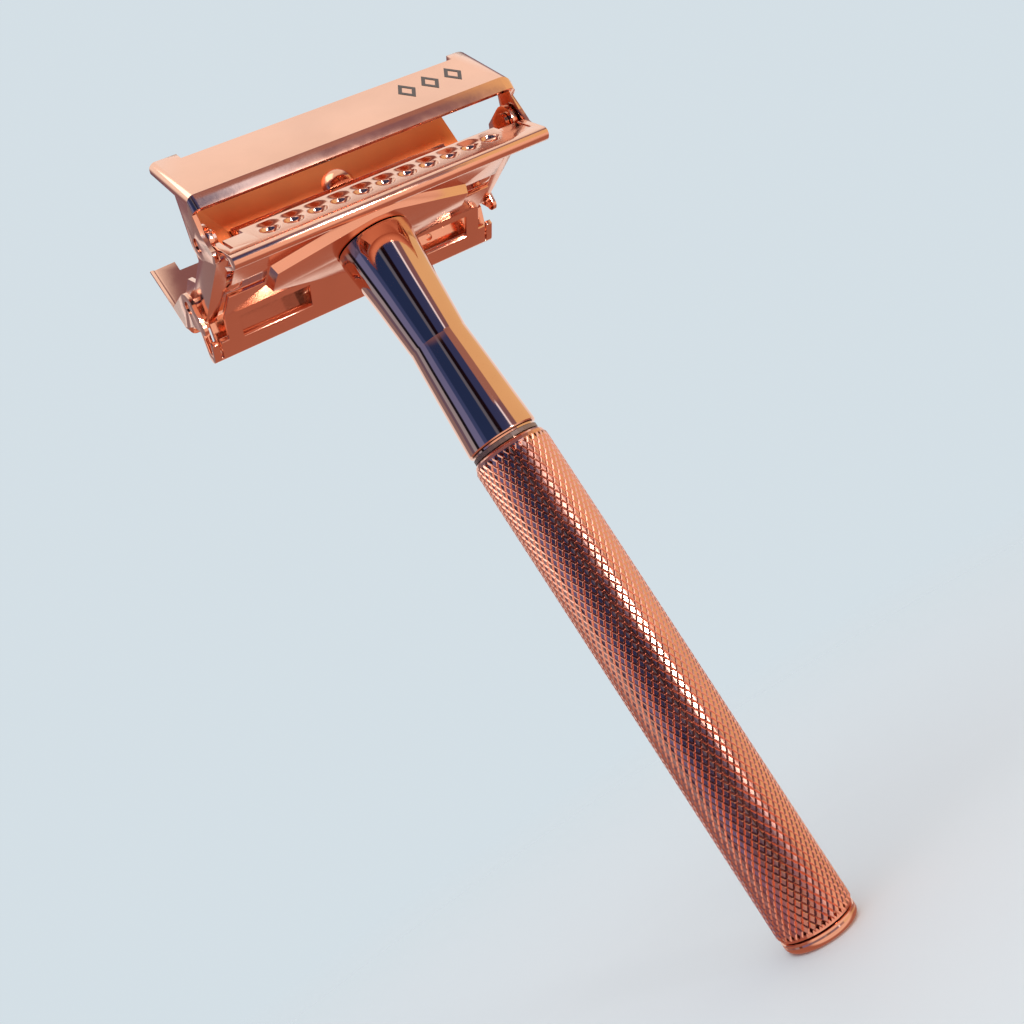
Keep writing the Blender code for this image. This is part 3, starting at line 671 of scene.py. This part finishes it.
def trough_mesh(side):
    """The room cut into the guard plate for one strip."""
    corners = [
        strip_place(side, x, up, out)
        for x in (-STRIP_HALF_LENGTH, STRIP_HALF_LENGTH)
        for up in (STRIP_FOOT, STRIP_TOP)
        for out in (-STRIP_DEPTH, STRIP_DEPTH)
    ]
    faces = [[0, 1, 3, 2], [4, 6, 7, 5], [0, 4, 5, 1], [2, 3, 7, 6], [0, 2, 6, 4], [1, 5, 7, 3]]
    return faced_out(mesh_from(f"trough_{side}", corners, faces), MESH_WELD)


def make_guard(finish):
    """The guard plate with room for the worked strips, its edges softened."""
    mesh = finished_copy("guard_plate", GUARD_EDGE, [trough_mesh(-1), trough_mesh(1)], skip=in_trough)
    new_piece("guard_finished", mesh, "frame", finish, ("guard_plate",))


def direction(a, b):
    """The length of a line from a to b, and its direction."""
    run = math.hypot(b[0] - a[0], b[1] - a[1])
    return run, ((b[0] - a[0]) / run, (b[1] - a[1]) / run)


def depth_below(points, o, u):
    """Depth of (o, u) under the nearest stretch of a line of points, and that stretch's outward side."""
    best = None
    for a, b in zip(points, points[1:]):
        run, along = direction(a, b)
        out = (-along[1], along[0])
        share = ((o - a[0]) * along[0] + (u - a[1]) * along[1]) / run
        miss = max(0.0, -share, share - 1.0) * run
        depth = -((o - a[0]) * out[0] + (u - a[1]) * out[1])
        if best is None or miss < best[0]:
            best = (miss, depth, out)
    return best[1], best[2]


def shutting(side, open_deg):
    """The turn that shuts an open door, and the door's pivot."""
    back = Matrix.Rotation(math.radians(side * open_deg), 3, "X")
    return back, Vector((0.0, side * PIVOT_Y * MM, (PIVOT_Z + LIP_Z) * MM))


def rounded_ends(side, open_deg):
    """Bends a door's roof down into its end legs with a wide radius."""
    back, pivot = shutting(side, open_deg)

    def shape(work):
        for sign, radius in END_ROUND.items():
            for step in range(END_STEPS):
                x = DOOR_END_X - radius + radius * math.sin(math.pi / 2 * step / END_STEPS)
                bmesh.ops.bisect_plane(
                    work, geom=work.verts[:] + work.edges[:] + work.faces[:], dist=MESH_WELD,
                    plane_co=(sign * x * MM, 0.0, 0.0), plane_no=(1.0, 0.0, 0.0),
                )
        for vertex in work.verts:
            place = back @ (vertex.co - pivot) / MM
            radius = END_ROUND[-1 if place.x < 0 else 1]
            inner_round = radius - LEG_SHEET
            past = abs(place.x) - DOOR_END_X + radius
            if past < -1e-4:
                continue
            o, u = side * place.y, place.z
            depth, out = depth_below(DOOR_OUTLINE, o, u)
            if abs(depth) < OUTER_FACE_SLACK:
                drop = radius - math.sqrt(max(0.0, radius ** 2 - past ** 2))
            elif abs(depth - DOOR_SHEET) < INNER_FACE_SLACK:
                if past < inner_round:
                    drop = radius - math.sqrt(inner_round ** 2 - past ** 2)
                else:
                    drop = radius + END_LIP
                drop = max(0.0, drop - depth)
            else:
                continue
            place.y = side * max(o - out[0] * drop, DOOR_MEETING - PIVOT_Y)
            place.z = u - out[1] * drop
            vertex.co = back.transposed() @ (place * MM) + pivot

    return shape


def make_doors(finish):
    for name, side, open_deg in (("front", -1, FRONT_OPEN_DEG), ("rear", 1, REAR_OPEN_DEG)):
        mesh = finished_copy(f"door_{name}", DOOR_EDGE, shape=rounded_ends(side, open_deg))
        piece = f"door_{name}_finished"
        new_piece(piece, mesh, f"{name}_door", finish, (f"door_{name}",))


def make_ornament(finish):
    """Three dark inlaid lozenges near one end of the front door's roof."""
    back, pivot = shutting(-1, FRONT_OPEN_DEG)
    a = DOOR_OUTLINE[0]
    along = direction(a, DOOR_OUTLINE[1])[1]
    vertices = []
    faces = []
    for index in range(3):
        x = ORNAMENT_X + ORNAMENT_PITCH * (index - 1)
        starts = []
        for grow in (1.0, ORNAMENT_INSIDE):
            starts.append(len(vertices))
            for height in (-ORNAMENT_SUNK, ORNAMENT_PROUD):
                for dx, dy in ((-1, 0), (0, -1), (1, 0), (0, 1)):
                    down = ORNAMENT_DOWN + dy * ORNAMENT_HALF[1] * grow
                    o = a[0] + along[0] * down - along[1] * height
                    u = a[1] + along[1] * down + along[0] * height
                    place = Vector((x + dx * ORNAMENT_HALF[0] * grow, -o, u)) * MM
                    vertices.append(back.transposed() @ place + pivot)
        outer, inner = starts
        for i in range(4):
            j = (i + 1) % 4
            faces.append([outer + 4 + i, outer + 4 + j, inner + 4 + j, inner + 4 + i])
            faces.append([outer + j, outer + i, inner + i, inner + j])
            faces.append([outer + i, outer + j, outer + 4 + j, outer + 4 + i])
            faces.append([inner + j, inner + i, inner + 4 + i, inner + 4 + j])
    mesh = faced_out(mesh_from("door_ornament", vertices, faces))
    new_piece("door_ornament", mesh, "front_door", finish)


def make_stud(finish):
    """The polished ball of the stud, over the CAD spine's faceted one."""
    profile = arc((0.0, STUD_Z), STUD_RADIUS, 90.0, STUD_FOOT_DEG, 28)
    profile[0] = (0.0, STUD_Z + STUD_RADIUS)
    profile += [(0.0, profile[-1][1])]
    mesh = turned_mesh("stud_ball", profile, 50, steps=STUD_STEPS, closed=False)
    new_piece("stud_ball", mesh, "carriage", finish)


def make_sheet_pieces(satin, painted_glow):
    """The carriage's sheet-metal parts keep their CAD shapes, with rounded edges."""
    for node, width, finish in (
        ("lift_bridge", BRIDGE_EDGE, satin),
        ("end_bracket_left", BRACKET_EDGE, satin),
        ("end_bracket_right", BRACKET_EDGE, satin),
        # The spine gets the deep orange finish, a painted glow of light between the plates.
        ("blade_spine", BRIDGE_EDGE, painted_glow),
    ):
        mesh = finished_copy(node, width)
        new_piece(f"{node}_finished", mesh, "carriage", finish, (node,))


# ---------------------------------------------------------------- stage


def make_floor():
    """A pale table top that fades away towards its rim."""
    angles = [2 * math.pi * i / FLOOR_STEPS for i in range(FLOOR_STEPS)]
    rim = [(FLOOR_RADIUS * math.cos(a), FLOOR_RADIUS * math.sin(a), 0.0) for a in angles]
    floor = placed("floor", mesh_from("floor", rim, [list(range(FLOOR_STEPS))]))
    made, nodes, shader, place = new_material("pale_table")
    shader.inputs["Roughness"].default_value = 0.6
    cloud = nodes.texture("ShaderNodeTexNoise", place, 3.0)
    colour = nodes.ramp(cloud.outputs["Fac"], [(0.3, (0.74, 0.79, 0.83)), (0.7, (0.78, 0.83, 0.86))])
    nodes.link(colour, shader.inputs["Base Color"])
    reach = nodes.add("ShaderNodeVectorMath", operation="LENGTH")
    nodes.link(place, reach.inputs[0])
    nodes.link(nodes.rise(reach.outputs["Value"], *FLOOR_FADE, 1.0, 0.0), shader.inputs["Alpha"])
    floor.data.materials.append(made)
    floor.visible_glossy = False


def bearing_share(degrees):
    """A bearing as a share of the full turn that starts at -X."""
    return ((degrees + 180.0) % 360.0) / 360.0


def make_world():
    """A pale surround. What shines mirrors a light tent: cards round it, dark bands and a bright top."""
    world = bpy.data.worlds.new("studio")
    bpy.context.scene.world = world
    world.use_nodes = True
    nodes = Nodes(world.node_tree)
    split = nodes.add("ShaderNodeSeparateXYZ")
    nodes.link(nodes.add("ShaderNodeTexCoord").outputs["Generated"], split.inputs[0])
    around = nodes.math("ARCTAN2", split.outputs["Y"], split.outputs["X"])
    share = nodes.math("ADD", nodes.math("DIVIDE", around, 2 * math.pi), 0.5)
    stops = sorted((bearing_share(start), colour) for start, colour in CARDS)
    blended = []
    for index, (at, colour) in enumerate(stops):
        before = stops[index - 1][1]
        blended += [(max(0.0, at - CARD_BLEND), before), (at + CARD_BLEND, colour)]
    tent = nodes.ramp(share, blended)
    height = split.outputs["Z"]
    depth = nodes.math("MULTIPLY", height, -1.0)
    first, last = (bearing_share(bearing) for bearing in BROWN_BEARINGS)
    ahead = nodes.ramp(share, [
        (first - BROWN_BLEND, grey(0.0)), (first, grey(1.0)),
        (last, grey(1.0)), (last + BROWN_BLEND, grey(0.0)),
    ])
    brown = nodes.math("MULTIPLY", ahead, nodes.rise(height, *BROWN_RISE))
    tent = nodes.mixed(brown, tent, BROWN_BAND)
    tent = nodes.mixed(nodes.rise(height, *DARK_RISE), tent, DARK_BAND)
    tent = nodes.mixed(nodes.rise(height, *TOP_RISE), tent, TENT_TOP)
    facing = nodes.math("MULTIPLY", split.outputs["Y"], -1.0)
    below = nodes.mixed(nodes.rise(facing, *BELOW_TURN), BELOW_BACK, BELOW_FRONT)
    tent = nodes.mixed(nodes.rise(depth, *BELOW_FALL), tent, below)
    rays = nodes.add("ShaderNodeLightPath")
    back = world.node_tree.nodes["Background"]
    nodes.link(nodes.mixed(rays.outputs["Is Camera Ray"], tent, SURROUND), back.inputs["Color"])
    back.inputs["Strength"].default_value = 1.0


def make_light(name, place, target, size, power, spread=180.0, colour=(1.0, 1.0, 1.0)):
    """A square lamp that looks at a target."""
    data = bpy.data.lights.new(name, "AREA")
    data.shape = "RECTANGLE"
    data.size = size
    data.size_y = size
    data.energy = power
    data.spread = math.radians(spread)
    data.color = colour
    lamp = placed(name, data)
    lamp.location = place
    lamp.rotation_mode = "QUATERNION"
    lamp.rotation_quaternion = (Vector(target) - Vector(place)).to_track_quat("-Z", "Y")


def make_camera():
    data = bpy.data.cameras.new("camera")
    data.sensor_width = CAMERA_SENSOR
    data.lens = CAMERA_LENS
    data.clip_start = 0.001
    data.clip_end = 50.0
    camera = placed("camera", data)
    right = Vector(CAMERA_RIGHT).normalized()
    up = Vector(CAMERA_UP)
    up = (up - up.dot(right) * right).normalized()
    turn = Matrix((right, up, right.cross(up))).transposed().to_4x4()
    camera.matrix_world = Matrix.Translation(Vector(CAMERA_POSITION) * MM) @ turn
    bpy.context.scene.camera = camera


# ---------------------------------------------------------------- main

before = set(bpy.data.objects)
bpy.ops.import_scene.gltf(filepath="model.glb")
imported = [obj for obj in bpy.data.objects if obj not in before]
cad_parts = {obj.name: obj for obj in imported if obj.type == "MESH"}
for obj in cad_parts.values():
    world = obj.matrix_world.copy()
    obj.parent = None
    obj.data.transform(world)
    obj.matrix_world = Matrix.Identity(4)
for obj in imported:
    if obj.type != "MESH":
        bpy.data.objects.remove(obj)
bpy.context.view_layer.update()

satin = metal("rose_gold_satin", ROSE_GOLD, 0.12, smear=0.06, grain=0.15)
# Painted glow: the spine's deeper orange stands for light passed between the plates.
painted_glow = metal("rose_gold_spine_painted_glow", ROSE_SPINE_PAINTED_GLOW, 0.4, smear=0.1, grain=0.2)
polished = metal("rose_gold_polished", ROSE_POLISHED, 0.05, smear=0.03)
# Painted glow: the stud's darker, redder tone stands for the orange light between the doors.
stud_painted_glow = metal("rose_gold_stud_painted_glow", ROSE_STUD_PAINTED_GLOW, 0.14, smear=0.05)
# Painted shade and highlight: a darker tone for the knurl, with lighter pointy crests.
knurl_shade_and_glint = metal("rose_gold_knurled", ROSE_KNURL_PAINTED_SHADE, 0.15, smear=0.06, wear_and_glint=0.12)
enamel = plastic("dark_enamel", ENAMEL, 0.4)
brass = metal("brass_plain", BRASS, 0.3, smear=0.1)
steel = turned_steel()
# Painted shade: the washer's dark colour also stands for the shade in the groove between the neck and the
# grip.
nylon_and_groove_shade = plastic("nylon_plain", NYLON_AND_GROOVE_SHADE, 0.45)
finishes = {
    "guide_bush": brass,
    "drive_nut": brass,
    "spindle": steel,
    "wave_washer": steel,
    "retaining_ring": steel,
    "thrust_washer": nylon_and_groove_shade,
}
for node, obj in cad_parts.items():
    for slot in obj.material_slots:
        slot.material = finishes.get(node, satin)

bpy.context.scene.view_settings.view_transform = "Standard"
make_camera()
make_guard(satin)
make_strip("strip_front", -1, satin)
make_strip("strip_rear", 1, satin)
make_doors(satin)
make_stud(stud_painted_glow)
make_ornament(enamel)
make_sheet_pieces(satin, painted_glow)
make_neck(polished)
make_end_cap(polished)
make_grip(knurl_shade_and_glint)
make_floor()
make_world()
make_light("key", KEY_PLACE, (0.0, 0.0, 0.097), 0.05, 0.16, 60.0, KEY_COLOUR)
make_light("top", TOP_PLACE, (0.0, 0.0, 0.08), 0.4, 0.8)
